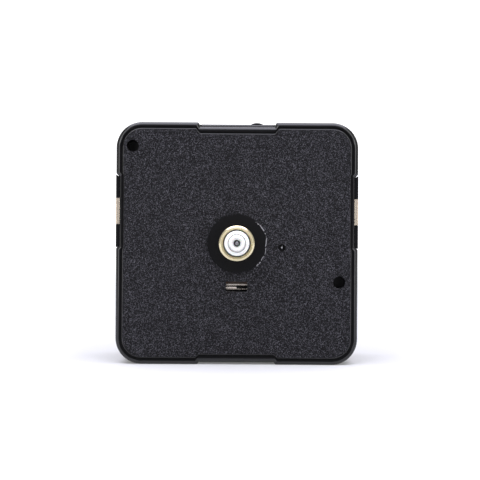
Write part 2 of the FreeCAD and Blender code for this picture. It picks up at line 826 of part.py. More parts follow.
def coil_winding():
    """The fine enamelled wire, as the one closed body that it makes on the bobbin."""
    x_low = bobbin_left_x + bobbin_flange
    x_high = bobbin_right_x - bobbin_flange
    start = Vector(x_low, (stator_back + core_back) / 2, coil_axis_z)
    winding = Part.makeCylinder(winding_r, x_high - x_low, start, Vector(1, 0, 0))
    return winding.cut(core_block(running_clearance + bobbin_wall, x_low - overrun, x_high + overrun))


def stator_screws():
    """Two slotted screws that hold the stator and the core to the rear case."""
    screws = []
    for spot in screw_places():
        head_front = stator_front - screw_head_height
        head = rod(screw_head_r, head_front, stator_front, spot)
        shank = rod(screw_r, stator_front, stator_front + screw_length, spot)
        slot = block(spot[0] - screw_head_r - overrun, spot[0] + screw_head_r + overrun,
                     head_front - overrun, head_front + screw_slot_depth,
                     spot[1] - screw_slot_width / 2, spot[1] + screw_slot_width / 2)
        screws.append(joined([head, shank]).cut(slot))
    return Part.makeCompound(screws)


def circuit_board():
    """The brown board across the case, set on two pegs."""
    board = block(-board_half_width, board_half_width, board_front, board_back,
                  stator_bar_top_z, board_top_z)
    corners = [edge for edge in board.Edges if edge.BoundBox.YLength > edge.BoundBox.XLength
               and edge.BoundBox.YLength > edge.BoundBox.ZLength]
    board = board.makeFillet(board_corner_r, corners)
    holes = [rod(board_peg_r + joint_clearance, 0, case_back, peg) for peg in board_peg_places()]
    return cut_away(board, holes)


def chip_blob():
    """The dome of black resin over the clock chip."""
    ball_r = dome_radius(chip_r, chip_height)
    ball = Part.makeSphere(ball_r, Vector(chip_x, board_back + chip_height - ball_r, board_centre_z))
    behind_board = block(chip_x - chip_r - overrun, chip_x + chip_r + overrun, board_back,
                         board_back + chip_height + overrun,
                         board_centre_z - chip_r - overrun, board_centre_z + chip_r + overrun)
    return ball.common(behind_board)


def quartz_crystal():
    """The small metal can that holds the quartz, lying along the board."""
    start = Vector(crystal_x, board_back + crystal_base_r, board_centre_z)
    can = Part.makeCylinder(crystal_r, crystal_length, start, Vector(1, 0, 0))
    base = Part.makeCylinder(crystal_base_r, crystal_base_length, start, Vector(1, 0, 0))
    return joined([can, base])


def capacitor():
    """The small block capacitor beside the crystal."""
    return block(capacitor_x, capacitor_x + capacitor_width, board_back, board_back + capacitor_depth,
                 board_centre_z - capacitor_height / 2, board_centre_z + capacitor_height / 2)


def contact_strip():
    """The right-hand contact: a fold over the window wall, a plate and a tail to the board."""
    z_low = compartment_centre_z - contact_height / 2
    z_high = compartment_centre_z + contact_height / 2
    leg = block(contact_leg_x, contact_outer_x, contact_fold_front, contact_leg_end, z_low, z_high)
    fold = block(contact_inner_x, contact_outer_x, contact_fold_front, window_wall_front, z_low, z_high)
    inner_leg = block(contact_inner_x, cavity_half_length, contact_fold_front,
                      floor_back + contact_plate_margin, z_low, z_high)
    hook = joined([leg, fold, inner_leg])
    bends = [edge for edge in hook.Edges
             if edge.BoundBox.YMax < contact_fold_front + contact_thickness / 2
             and edge.BoundBox.ZLength > contact_height / 2]
    hook = hook.makeFillet(contact_thickness * contact_bend_share, bends)
    plate = block(contact_inner_x, cavity_half_length, floor_back + contact_tail_gap,
                  case_back - contact_plate_margin, compartment_centre_z - contact_plate_height / 2,
                  compartment_centre_z + contact_plate_height / 2)
    tail_back = floor_front - contact_tail_gap
    tail_front = tail_back - contact_thickness
    tail_outer_x = contact_tail_x + contact_tail_width
    bridge = block(contact_tail_x, cavity_half_length, tail_front, tail_back,
                   z_low, z_low + contact_tail_width)
    foot_z = board_top_z - contact_foot_inset
    run = block(contact_tail_x, tail_outer_x, tail_front, tail_back, foot_z, z_low + contact_tail_width)
    foot = block(contact_tail_x, tail_outer_x, tail_front, board_front, foot_z, foot_z + contact_foot_height)
    return joined([hook, plate, bridge, run, foot])


def positive_contact():
    """The right-hand contact, with the dimple that meets the cell's button."""
    start = Vector(contact_inner_x, cell_axis_y, compartment_centre_z)
    dimple = Part.makeCone(positive_dimple_r, positive_dimple_tip_r, positive_dimple_height,
                           start, Vector(-1, 0, 0))
    return joined([contact_strip(), dimple])


def negative_contact():
    """The left-hand contact, with the bowed leaf that presses on the cell's base."""
    leaf_half = contact_plate_height / 2
    bow_r = (leaf_half ** 2 + negative_leaf_bulge ** 2) / (2 * negative_leaf_bulge)
    centre_x = contact_inner_x - negative_leaf_bulge + bow_r
    base = Vector(centre_x, cell_axis_y, compartment_centre_z - negative_leaf_height / 2)
    bow = Part.makeCylinder(bow_r, negative_leaf_height, base, Vector(0, 0, 1))
    bow = bow.cut(Part.makeCylinder(bow_r - contact_thickness, negative_leaf_height, base, Vector(0, 0, 1)))
    kept = block(contact_inner_x - negative_leaf_bulge - overrun, contact_inner_x + contact_thickness / 2,
                 cell_axis_y - leaf_half - overrun, cell_axis_y + leaf_half + overrun,
                 compartment_centre_z - negative_leaf_height, compartment_centre_z + negative_leaf_height)
    return mirrored_x(joined([contact_strip(), bow.common(kept)]))


def hour_wheel():
    """The hour wheel with its white tube, which turns on the minute tube.

    The seat for the hour hand is a little wider than the tube behind it.
    """
    seat_back = hour_seat_length - hour_tube_length
    seat = rod(hour_seat_r, -hour_tube_length, seat_back)
    seat = seat.makeChamfer(hour_seat_edge, edges_before(seat, (seat_back - hour_tube_length) / 2))
    tube = rod(hour_tube_r, seat_back, hour_back)
    wheel = gear(hour_teeth, hour_module, hour_phase, hour_front, hour_back, hand_axis)
    bore = rod(hour_tube_bore_r, -hour_tube_length - overrun, hour_back + overrun)
    return joined([wheel, tube, seat]).cut(bore)


def cannon_pinion():
    """The minute tube with its pinion and the seat of the centre wheel."""
    tube_r = hour_tube_bore_r - tube_clearance
    cone_back = -hour_tube_length - minute_tube_hidden
    cone_front = cone_back - minute_tube_cone
    tube = rod(tube_r, cone_back, cannon_back)
    taper = cone(minute_tube_tip_r, tube_r, cone_front, cone_back)
    tip = rod(minute_tube_tip_r, -minute_tube_length, cone_front)
    tip = tip.makeChamfer(minute_tube_edge, edges_before(tip, (cone_front - minute_tube_length) / 2))
    pinion = gear(cannon_teeth, motion_module, cannon_phase, cannon_front, cannon_back, hand_axis)
    seat_back = centre_back + centre_seat_stub
    journal = rod(cannon_journal_r, cannon_back, centre_front - clutch_thickness - end_play)
    seat = rod(centre_seat_r, cannon_back, seat_back)
    bore = rod(minute_tube_bore_r, -minute_tube_length - overrun, cannon_back)
    bearing = rod(seconds_arbor_r + running_clearance, 0, seat_back + overrun)
    mouth = cone(minute_tube_mouth_r, minute_tube_bore_r, -minute_tube_length,
                 minute_tube_mouth_depth - minute_tube_length)
    return cut_away(joined([tube, taper, tip, pinion, journal, seat]), (bore, bearing, mouth))


def centre_wheel():
    """The wheel that the train drives, held by friction on the minute tube."""
    wheel = gear(centre_teeth, centre_module, centre_phase, centre_front, centre_back, hand_axis)
    return wheel.cut(rod(centre_seat_r + running_clearance, 0, centre_back + overrun))


def clutch_spring():
    """The three-armed spring washer that lets the hands slip when they are set."""
    front = centre_front - clutch_thickness
    arms = [block(-clutch_arm_width / 2, clutch_arm_width / 2, front, centre_front, 0, clutch_r)
            for arm in range(clutch_arms)]
    for index, arm in enumerate(arms):
        arm.rotate(Vector(0, 0, 0), Vector(0, 1, 0), 360 * index / clutch_arms)
    star = joined([rod(cannon_journal_r + clutch_arm_width / 2, front, centre_front)] + arms)
    return star.cut(rod(centre_seat_r + running_clearance, 0, centre_back))


def seconds_wheel():
    """The seconds wheel and its pinion in one moulding."""
    wheel = gear(seconds_teeth, seconds_module, seconds_phase, seconds_front, seconds_back, hand_axis)
    pinion = gear(seconds_pinion_teeth, third_module, seconds_pinion_phase,
                  third_front - hub_length, seconds_front, hand_axis)
    return joined([wheel, pinion]).cut(rod(seconds_arbor_r, 0, seconds_back + overrun))


def seconds_arbor():
    """The steel arbor of the seconds wheel, from the seat of the hand to its rear pivot.

    A thin neck parts the seat from the thicker arbor inside the minute tube.
    """
    neck_back = seconds_neck_length - minute_tube_length
    taper_back = neck_back + seconds_arbor_taper
    arbor = rod(seconds_arbor_r, taper_back, floor_front - end_play)
    taper = cone(seconds_neck_r, seconds_arbor_r, neck_back, taper_back)
    neck = rod(seconds_neck_r, -minute_tube_length, neck_back)
    seat = rod(seconds_seat_r, -seconds_arbor_length, -minute_tube_length)
    seat_middle = -(seconds_arbor_length + minute_tube_length) / 2
    seat = seat.makeFillet(seconds_seat_edge, edges_before(seat, seat_middle))
    pivot = rod(pivot_r, floor_front - end_play, floor_front + pivot_depth)
    return joined([arbor, taper, neck, seat, pivot])


def pivoted_arbor(rear_bearing_front, axis):
    """A steel arbor between the middle plate and a rear bearing, with a pivot at each end."""
    front = middle_back + end_play
    back = rear_bearing_front - end_play
    arbor = rod(train_arbor_r, front, back, axis)
    pivots = rod(pivot_r, middle_back - pivot_depth, rear_bearing_front + pivot_depth, axis)
    return joined([arbor, pivots])


def third_wheel():
    """The third wheel and its pinion in one moulding."""
    wheel = gear(third_teeth, third_module, third_phase, third_front, third_back, third_axis)
    pinion = gear(third_pinion_teeth, centre_module, third_pinion_phase,
                  centre_front - hub_length, third_front, third_axis)
    return joined([wheel, pinion]).cut(rod(train_arbor_r, 0, third_back + overrun, third_axis))


def intermediate_wheel():
    """The wheel between the rotor and the seconds wheel, with its pinion in one moulding."""
    wheel = gear(intermediate_teeth, intermediate_module, intermediate_phase,
                 third_front, third_back, intermediate_axis)
    pinion = gear(intermediate_pinion_teeth, seconds_module, intermediate_pinion_phase,
                  third_back, seconds_back + hub_length, intermediate_axis)
    return joined([wheel, pinion]).cut(rod(train_arbor_r, 0, case_back, intermediate_axis))


def rotor_magnet():
    """The two-pole magnet ring."""
    return ring(magnet_r, magnet_bore_r, magnet_front, magnet_back, rotor_axis)


def rotor_pinion():
    """The rotor's pinion with the hub that carries the magnet."""
    pinion = gear(rotor_pinion_teeth, intermediate_module, rotor_pinion_phase,
                  third_front - hub_length, third_back + hub_length, rotor_axis)
    hub = rod(magnet_bore_r, third_back + hub_length, magnet_back, rotor_axis)
    return joined([pinion, hub]).cut(rod(train_arbor_r, 0, case_back, rotor_axis))


def motion_wheel():
    """The motion wheel and its pinion, which turn the hour wheel."""
    wheel = gear(motion_teeth, motion_module, motion_phase, cannon_front, cannon_back, motion_axis)
    pinion = gear(motion_pinion_teeth, hour_module, motion_pinion_phase,
                  hour_front, cannon_front, motion_axis)
    return joined([wheel, pinion]).cut(rod(motion_arbor_r, 0, case_back, motion_axis))


def motion_arbor():
    """The pin of the motion wheel, whose domed end shows in the front cover."""
    front = face_y + motion_arbor_recess
    dome_back = front + motion_arbor_dome_height
    ball_r = dome_radius(motion_arbor_r, motion_arbor_dome_height)
    ball = Part.makeSphere(ball_r, Vector(motion_axis[0], front + ball_r, motion_axis[1]))
    dome = ball.common(rod(motion_arbor_r, front, dome_back, motion_axis))
    return joined([dome, rod(motion_arbor_r, dome_back, middle_back, motion_axis)])


def setting_arbor():
    """The shaft from the setting knob to the motion wheel, with its pinion."""
    pinion = gear(cannon_teeth, motion_module, setting_phase, cannon_front, cannon_back, setting_axis)
    knob_front = pocket_floor_back + end_play
    shaft = rod(setting_arbor_r, cannon_back, knob_front + knob_thickness / 2, setting_axis)
    collar_front = middle_back + setting_collar_gap
    collar = rod(setting_collar_r, collar_front, collar_front + setting_collar_thickness, setting_axis)
    return joined([pinion, shaft, collar])


def setting_knob():
    """The fluted knob on the back that sets the hands."""
    front = pocket_floor_back + end_play
    back = front + knob_thickness
    knob = rod(knob_r, front, back, setting_axis)
    flutes = [rod(knob_flute_r, front - overrun, back + overrun,
                  place(knob_r, 2 * math.pi * flute / knob_flutes, setting_axis))
              for flute in range(knob_flutes)]
    bore = rod(setting_arbor_r, front - overrun, front + knob_thickness / 2, setting_axis)
    coin_slot = block(setting_axis[0] - knob_r, setting_axis[0] + knob_r,
                      back - knob_coin_slot_depth, back + overrun,
                      setting_axis[1] - knob_coin_slot_width / 2, setting_axis[1] + knob_coin_slot_width / 2)
    return cut_away(knob, flutes + [bore, coin_slot])


pieces = (front_cover, threaded_bush, hour_wheel_washer, rear_case, middle_plate,
          stator_plate, coil_core, coil_bobbin, coil_winding, stator_screws,
          circuit_board, chip_blob, quartz_crystal, capacitor, positive_contact, negative_contact,
          hour_wheel, cannon_pinion, centre_wheel, clutch_spring, seconds_wheel, seconds_arbor,
          third_wheel, intermediate_wheel, rotor_magnet, rotor_pinion,
          motion_wheel, motion_arbor, setting_arbor, setting_knob)
for piece in pieces:
    export(piece.__name__, piece())

export("third_arbor", pivoted_arbor(floor_front, third_axis))
export("intermediate_arbor", pivoted_arbor(floor_front, intermediate_axis))
export("rotor_arbor", pivoted_arbor(rotor_post_front(), rotor_axis))
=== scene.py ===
import math

import bmesh
import bpy
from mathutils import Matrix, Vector


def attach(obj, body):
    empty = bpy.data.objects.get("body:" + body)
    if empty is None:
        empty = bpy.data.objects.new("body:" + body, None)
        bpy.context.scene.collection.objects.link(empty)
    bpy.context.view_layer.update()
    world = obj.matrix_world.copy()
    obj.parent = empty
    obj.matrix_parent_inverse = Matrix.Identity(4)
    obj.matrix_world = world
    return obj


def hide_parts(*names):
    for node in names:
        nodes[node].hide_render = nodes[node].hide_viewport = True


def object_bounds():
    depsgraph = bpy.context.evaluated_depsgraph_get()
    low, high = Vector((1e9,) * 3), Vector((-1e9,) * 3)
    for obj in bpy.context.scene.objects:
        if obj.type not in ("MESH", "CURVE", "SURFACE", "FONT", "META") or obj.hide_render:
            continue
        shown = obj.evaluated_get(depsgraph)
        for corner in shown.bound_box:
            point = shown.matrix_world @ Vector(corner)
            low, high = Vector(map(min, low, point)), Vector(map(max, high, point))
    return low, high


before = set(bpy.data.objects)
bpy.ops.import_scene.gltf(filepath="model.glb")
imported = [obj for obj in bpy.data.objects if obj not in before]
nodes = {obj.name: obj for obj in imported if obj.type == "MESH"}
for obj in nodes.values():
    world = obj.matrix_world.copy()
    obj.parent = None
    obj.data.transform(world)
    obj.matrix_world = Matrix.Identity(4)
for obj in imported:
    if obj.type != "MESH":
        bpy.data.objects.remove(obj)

cad_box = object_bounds()
mm = 0.001


# White sweep: a sheet of matt white card that lies on the table and curves up behind the object.
# The card is seen as white, and the soft shadow of the movement stays on it.
straight_part_end = 0.04045
straight_part_slope = 12.92
curve_offset = 0.055
curve_power = 2.4


def linear(hex_colour):
    """An sRGB hex colour as linear red, green, blue and alpha."""
    shares = [int(hex_colour[i:i + 2], 16) / 255 for i in (1, 3, 5)]
    return [share / straight_part_slope if share <= straight_part_end
            else ((share + curve_offset) / (1 + curve_offset)) ** curve_power for share in shares] + [1]


def add_node(tree, kind, settings, links):
    """Add one node with its settings, and link sockets to its inputs by name or number.

    A colour mix has its two colours at inputs 6 and 7, and the mixed colour at output 2.
    """
    node = tree.nodes.new(kind)
    for name, value in settings.items():
        if isinstance(name, int) or name in node.inputs:
            node.inputs[name].default_value = value
        else:
            setattr(node, name, value)
    for name, socket in links.items():
        tree.links.new(socket, node.inputs[name])
    return node


def new_material(name):
    """Start a material, and give its node tree and its shader."""
    material = bpy.data.materials.new(name)
    material.use_nodes = True
    return material, material.node_tree, material.node_tree.nodes["Principled BSDF"]


def start_piece(name, add_primitive, **sizes):
    """Deselect everything, add a primitive, name it and open it for editing."""
    bpy.ops.object.select_all(action="DESELECT")
    add_primitive(**sizes)
    bpy.context.object.name = name
    bpy.ops.object.transform_apply(location=True, rotation=True, scale=True)
    bpy.ops.object.mode_set(mode="EDIT")
    bpy.ops.mesh.select_mode(type="VERT")
    return bpy.context.object


def select_edges(piece, wanted):
    """Select only the edges whose two ends pass a test."""
    bpy.ops.mesh.select_mode(type="EDGE")
    bpy.ops.mesh.select_all(action="DESELECT")
    mesh = bmesh.from_edit_mesh(piece.data)
    for edge in mesh.edges:
        edge.select = all(wanted(end.co) for end in edge.verts)
    bmesh.update_edit_mesh(piece.data)


card_half_width = 1.4
card_back_y = 1.2
card_length = 1.35
card_height = 1.6
card_bend = 0.35
card_bend_segments = 16
card_z = cad_box[0][2]
card_colour = linear("#c8c8c8")
card_roughness = 0.9
near_glow = 0.15
far_glow = 1.0
glow_start = 0.12
glow_end = 0.9

card = start_piece("card_sweep", bpy.ops.mesh.primitive_plane_add, size=2 * card_half_width,
                   location=(0, card_back_y - card_half_width, card_z))
select_edges(card, lambda end: end.y < 0)
bpy.ops.transform.translate(value=(0, 2 * card_half_width - card_length, 0))
select_edges(card, lambda end: end.y > 0)
bpy.ops.mesh.extrude_region_move(TRANSFORM_OT_translate={"value": (0, 0, card_height)})
select_edges(card, lambda end: end.y > 0 and end.z < card_height / 2)
bpy.ops.mesh.bevel(offset=card_bend, segments=card_bend_segments)
bpy.ops.object.mode_set(mode="OBJECT")
bpy.ops.object.shade_smooth()

white_card, tree, shader = new_material("matt_white_card")
shader.inputs["Base Color"].default_value = card_colour
shader.inputs["Roughness"].default_value = card_roughness
point = add_node(tree, "ShaderNodeTexCoord", {}, {})
distance = add_node(tree, "ShaderNodeVectorMath", {"operation": "LENGTH"}, {0: point.outputs["Object"]})
glow_share = add_node(tree, "ShaderNodeMapRange",
                      {"From Min": glow_start, "From Max": glow_end, "To Min": near_glow, "To Max": far_glow},
                      {"Value": distance.outputs["Value"]})
glow = add_node(tree, "ShaderNodeEmission", {}, {"Strength": glow_share.outputs[0]})
lit = add_node(tree, "ShaderNodeAddShader", {}, {0: shader.outputs[0], 1: glow.outputs[0]})
rays = add_node(tree, "ShaderNodeLightPath", {}, {})
seen = add_node(tree, "ShaderNodeMath", {"operation": "MAXIMUM"},
                {0: rays.outputs["Is Camera Ray"], 1: rays.outputs["Is Glossy Ray"]})
seen = add_node(tree, "ShaderNodeMath", {"operation": "MAXIMUM"},
                {0: seen.outputs[0], 1: rays.outputs["Is Transmission Ray"]})
mixed = add_node(tree, "ShaderNodeMixShader", {},
                 {0: seen.outputs[0], 1: shader.outputs[0], 2: lit.outputs[0]})
tree.links.new(mixed.outputs[0], tree.nodes["Material Output"].inputs["Surface"])
card.data.materials.append(white_card)


# Studio light: a wide soft box above the object, a tall one at each side and a small white card
# in front, in a pale room with a dark end. They light the front at the level that keeps its colours.
def soft_box(name, place, size, power, colour):
    """An area lamp aimed at the object."""
    lamp = bpy.data.lights.new(name, "AREA")
    lamp.shape = "RECTANGLE"
    lamp.size, lamp.size_y = size
    lamp.energy = power
    lamp.color = linear(colour)[:3]
    holder = bpy.data.objects.new(name, lamp)
    holder.location = place
    holder.rotation_euler = (-Vector(place)).to_track_quat("-Z", "Y").to_euler()
    bpy.context.scene.collection.objects.link(holder)


top_place = (0, -0.1, 0.5)
top_size = (0.7, 0.78)
top_power = 6.7
side_x = 0.42
side_y = -0.68
side_z = 0.15
side_size = (0.23, 0.7)
side_power = 2.1
front_place = (0, -0.9, -0.03)
front_size = (0.3, 0.3)
front_power = 0.36
cool_white = "#f0f0ff"
plain_white = "#ffffff"
room_colour = linear("#fdfdff")
room_level = 0.5
dark_end_level = 0.12
dark_end_start = 0.5

soft_box("top_box", top_place, top_size, top_power, cool_white)
soft_box("left_box", (-side_x, side_y, side_z), side_size, side_power, plain_white)
soft_box("front_card", front_place, front_size, front_power, plain_white)
soft_box("right_box", (side_x, side_y, side_z), side_size, side_power, plain_white)

room = bpy.data.worlds.new("grey_room")
bpy.context.scene.world = room
room.use_nodes = True
tree = room.node_tree
direction = add_node(tree, "ShaderNodeTexCoord", {}, {})
towards = add_node(tree, "ShaderNodeSeparateXYZ", {}, {0: direction.outputs["Generated"]})
level = add_node(tree, "ShaderNodeMapRange",
                 {"From Min": -1.0, "From Max": -dark_end_start,
                  "To Min": dark_end_level, "To Max": room_level},
                 {"Value": towards.outputs["Y"]})
tree.links.new(level.outputs[0], tree.nodes["Background"].inputs["Strength"])
tree.nodes["Background"].inputs["Color"].default_value = room_colour
bpy.context.scene.view_settings.view_transform = "Standard"


# Camera: square to the front cover, level with the hand axis, as the photograph was taken.
# The photograph has 4.34 pixels to a millimetre at the cover, and stands half a degree off level.
photo_side = 480
photo_scale = 4.34
axis_pixel_x = 236.85
axis_pixel_y = 243.4
photo_turn = math.radians(0.36)
camera_distance = 200 * mm
film_width_mm = 36
nearest_seen = 10 * mm
view_width = photo_side / photo_scale * mm
lens = bpy.data.cameras.new("camera")
lens.sensor_width = film_width_mm
lens.lens = lens.sensor_width * camera_distance / view_width
lens.shift_x = (photo_side / 2 - axis_pixel_x) / photo_side
lens.shift_y = (axis_pixel_y - photo_side / 2) / photo_side
lens.clip_start = nearest_seen
camera = bpy.data.objects.new("camera", lens)
camera.location = (0, -camera_distance, 0)
camera.rotation_euler = (math.pi / 2, -photo_turn, 0)
bpy.context.scene.collection.objects.link(camera)
bpy.context.scene.camera = camera


# Rear case, setting knob and middle plate: black ABS, injection moulded. The case snaps to the front
# cover with two latches. Its polished mould leaves the outside satin with faint flow marks. The core
# that forms the inside is plain, and so is the middle plate's mould, and both leave the plastic matt.
def dress(names, material):
    """Give CAD pieces their one material."""
    for name in names:
        nodes[name].data.materials.clear()
        nodes[name].data.materials.append(material)


flow_mark_width = 0.8 * mm
flow_mark_depth = 0.003 * mm
flow_detail = 4.0
core_facing = -0.9
black = linear("#0a0a0b")
greyer_black = linear("#111113")
abs_ior = 1.54
satin_smoothest = 0.2
satin_roughest = 0.32
core_roughness = 0.6
satin_shine = 0.35
matt_shine = 0.1
core_shine = 0.06
for name, dressed, outer_shine in (("moulded_black_abs", ("rear_case", "setting_knob"), satin_shine),
                                   ("matt_black_abs", ("middle_plate",), matt_shine)):
    black_abs, tree, shader = new_material(name)
    shader.inputs["IOR"].default_value = abs_ior
    point = add_node(tree, "ShaderNodeTexCoord", {}, {})
    flow = add_node(tree, "ShaderNodeTexNoise", {"Scale": 1 / flow_mark_width, "Detail": flow_detail},
                    {"Vector": point.outputs["Object"]})
    tone = add_node(tree, "ShaderNodeMix", {"data_type": "RGBA", 6: black, 7: greyer_black},
                    {0: flow.outputs["Fac"]})
    facing = add_node(tree, "ShaderNodeSeparateXYZ", {}, {0: point.outputs["Normal"]})
    by_core = add_node(tree, "ShaderNodeMath", {"operation": "LESS_THAN", 1: core_facing},
                       {0: facing.outputs["Y"]})
    satin = add_node(tree, "ShaderNodeMapRange", {"To Min": satin_smoothest, "To Max": satin_roughest},
                     {"Value": flow.outputs["Fac"]})
    gloss = add_node(tree, "ShaderNodeMapRange", {"To Max": core_roughness},
                     {"Value": by_core.outputs[0], "To Min": satin.outputs[0]})
    shine = add_node(tree, "ShaderNodeMapRange", {"To Min": outer_shine, "To Max": core_shine},
                     {"Value": by_core.outputs[0]})
    dents = add_node(tree, "ShaderNodeBump", {"Distance": flow_mark_depth}, {"Height": flow.outputs["Fac"]})
    tree.links.new(tone.outputs[2], shader.inputs["Base Color"])
    tree.links.new(gloss.outputs[0], shader.inputs["Roughness"])
    tree.links.new(shine.outputs[0], shader.inputs["Specular IOR Level"])
    tree.links.new(dents.outputs[0], shader.inputs["Normal"])
    dress(dressed, black_abs)


# Contacts: spring steel strip, nickel plated, folded over the walls of the side windows.
# The strip was rolled, so long fine lines run round the folds and draw its highlights out.
rolling_line_width = 0.06 * mm
rolling_line_length = 3.0 * mm
rolling_line_depth = 0.002 * mm
rolling_detail = 2.0
nickel_shade = linear("#b9aa99")
nickel_light = linear("#d9cfc3")
nickel_smoothest = 0.12
nickel_roughest = 0.24
nickel, tree, shader = new_material("nickel_plated_spring_steel")
shader.inputs["Metallic"].default_value = 1.0
point = add_node(tree, "ShaderNodeTexCoord", {}, {})
along = add_node(tree, "ShaderNodeMapping",
                 {"Scale": (1 / rolling_line_length, 1 / rolling_line_length, 1 / rolling_line_width)},
                 {"Vector": point.outputs["Object"]})
lines = add_node(tree, "ShaderNodeTexNoise", {"Scale": 1.0, "Detail": rolling_detail},
                 {"Vector": along.outputs[0]})
tone = add_node(tree, "ShaderNodeMix", {"data_type": "RGBA", 6: nickel_shade, 7: nickel_light},
                {0: lines.outputs["Fac"]})
gloss = add_node(tree, "ShaderNodeMapRange", {"To Min": nickel_smoothest, "To Max": nickel_roughest},
                 {"Value": lines.outputs["Fac"]})
ridges = add_node(tree, "ShaderNodeBump", {"Distance": rolling_line_depth}, {"Height": lines.outputs["Fac"]})
tree.links.new(tone.outputs[2], shader.inputs["Base Color"])
tree.links.new(gloss.outputs[0], shader.inputs["Roughness"])
tree.links.new(ridges.outputs[0], shader.inputs["Normal"])
dress(("positive_contact", "negative_contact"), nickel)


# Stator plate and coil core: punched soft iron, bright annealed in hydrogen.
# That leaves bare silver metal with a pink tinge and broad soft grains.
iron_grain_width = 0.5 * mm
iron_shade = linear("#cdc3be")
iron_light = linear("#dcd4cd")
iron_smoothest = 0.2
iron_roughest = 0.24
stator_iron, tree, shader = new_material("bright_annealed_soft_iron")
shader.inputs["Metallic"].default_value = 1.0
point = add_node(tree, "ShaderNodeTexCoord", {}, {})
grain = add_node(tree, "ShaderNodeTexVoronoi", {"Scale": 1 / iron_grain_width},
                 {"Vector": point.outputs["Object"]})
grain_tone = add_node(tree, "ShaderNodeSeparateColor", {}, {0: grain.outputs["Color"]})
tone = add_node(tree, "ShaderNodeMix", {"data_type": "RGBA", 6: iron_shade, 7: iron_light},
                {0: grain_tone.outputs[0]})
gloss = add_node(tree, "ShaderNodeMapRange", {"To Min": iron_smoothest, "To Max": iron_roughest},
                 {"Value": grain_tone.outputs[1]})
tree.links.new(tone.outputs[2], shader.inputs["Base Color"])
tree.links.new(gloss.outputs[0], shader.inputs["Roughness"])
dress(("stator_plate", "coil_core"), stator_iron)


# Coil bobbin: natural nylon, injection moulded with a square hole through it, pushed over the core.
# It is milky, with a faint cloudiness in the thick flanges, and light creeps a little under its skin.
nylon_cloud_width = 1.5 * mm
nylon_shade = linear("#d6d2c4")
nylon_light = linear("#e6e3d9")
nylon_creep = 0.5 * mm
nylon, tree, shader = new_material("natural_nylon")
shader.inputs["IOR"].default_value = 1.53
shader.inputs["Roughness"].default_value = 0.4
shader.inputs["Subsurface Weight"].default_value = 0.2
shader.inputs["Subsurface Scale"].default_value = nylon_creep
point = add_node(tree, "ShaderNodeTexCoord", {}, {})
cloud = add_node(tree, "ShaderNodeTexNoise", {"Scale": 1 / nylon_cloud_width},
                 {"Vector": point.outputs["Object"]})
tone = add_node(tree, "ShaderNodeMix", {"data_type": "RGBA", 6: nylon_shade, 7: nylon_light},
                {0: cloud.outputs["Fac"]})
tree.links.new(tone.outputs[2], shader.inputs["Base Color"])
dress(("coil_bobbin",), nylon)


# Coil winding: enamelled copper wire of 0.02 mm, wound in thousands of turns round the bobbin.
# The turns are drawn 0.15 mm apart, so that they show, with painted shade darkening the grooves between them.
# The enamel is clear and glossy.
drawn_turn_pitch = 0.15 * mm
turn_depth = 0.03 * mm
painted_shade_between_turns = linear("#6e2f16")
on_turns = linear("#d8834f")
copper, tree, shader = new_material("enamelled_copper_wire")
shader.inputs["Metallic"].default_value = 1.0
shader.inputs["Roughness"].default_value = 0.3
shader.inputs["Coat Weight"].default_value = 0.6
point = add_node(tree, "ShaderNodeTexCoord", {}, {})
across = add_node(tree, "ShaderNodeSeparateXYZ", {}, {0: point.outputs["Object"]})
turns = add_node(tree, "ShaderNodeMath", {"operation": "PINGPONG", 1: drawn_turn_pitch / 2},
                 {0: across.outputs["X"]})
turn_share = add_node(tree, "ShaderNodeMath", {"operation": "DIVIDE", 1: drawn_turn_pitch / 2},
                      {0: turns.outputs[0]})
# Painted shade: the copper is darker towards the grooves between the drawn turns.
tone = add_node(tree, "ShaderNodeMix", {"data_type": "RGBA", 6: painted_shade_between_turns, 7: on_turns},
                {0: turn_share.outputs[0]})
wires = add_node(tree, "ShaderNodeBump", {"Distance": turn_depth}, {"Height": turn_share.outputs[0]})
tree.links.new(tone.outputs[2], shader.inputs["Base Color"])
tree.links.new(wires.outputs[0], shader.inputs["Normal"])
dress(("coil_winding",), copper)


# Stator screws: steel, cold headed, which hold the stator plate and the coil core to the case.
# They are zinc plated and blue passivated, which gives them a cool uneven tint.
zinc_patch_width = 0.7 * mm
zinc_blue = linear("#a8b0bd")
zinc_pale = linear("#cfcfcb")
zinc_smoothest = 0.2
zinc_roughest = 0.4
zinc, tree, shader = new_material("zinc_plated_steel")
shader.inputs["Metallic"].default_value = 1.0
point = add_node(tree, "ShaderNodeTexCoord", {}, {})
patches = add_node(tree, "ShaderNodeTexNoise", {"Scale": 1 / zinc_patch_width},
                   {"Vector": point.outputs["Object"]})
tone = add_node(tree, "ShaderNodeMix", {"data_type": "RGBA", 6: zinc_blue, 7: zinc_pale},
                {0: patches.outputs["Fac"]})
gloss = add_node(tree, "ShaderNodeMapRange", {"To Min": zinc_smoothest, "To Max": zinc_roughest},
                 {"Value": patches.outputs["Fac"]})
tree.links.new(tone.outputs[2], shader.inputs["Base Color"])
tree.links.new(gloss.outputs[0], shader.inputs["Roughness"])
dress(("stator_screws",), zinc)


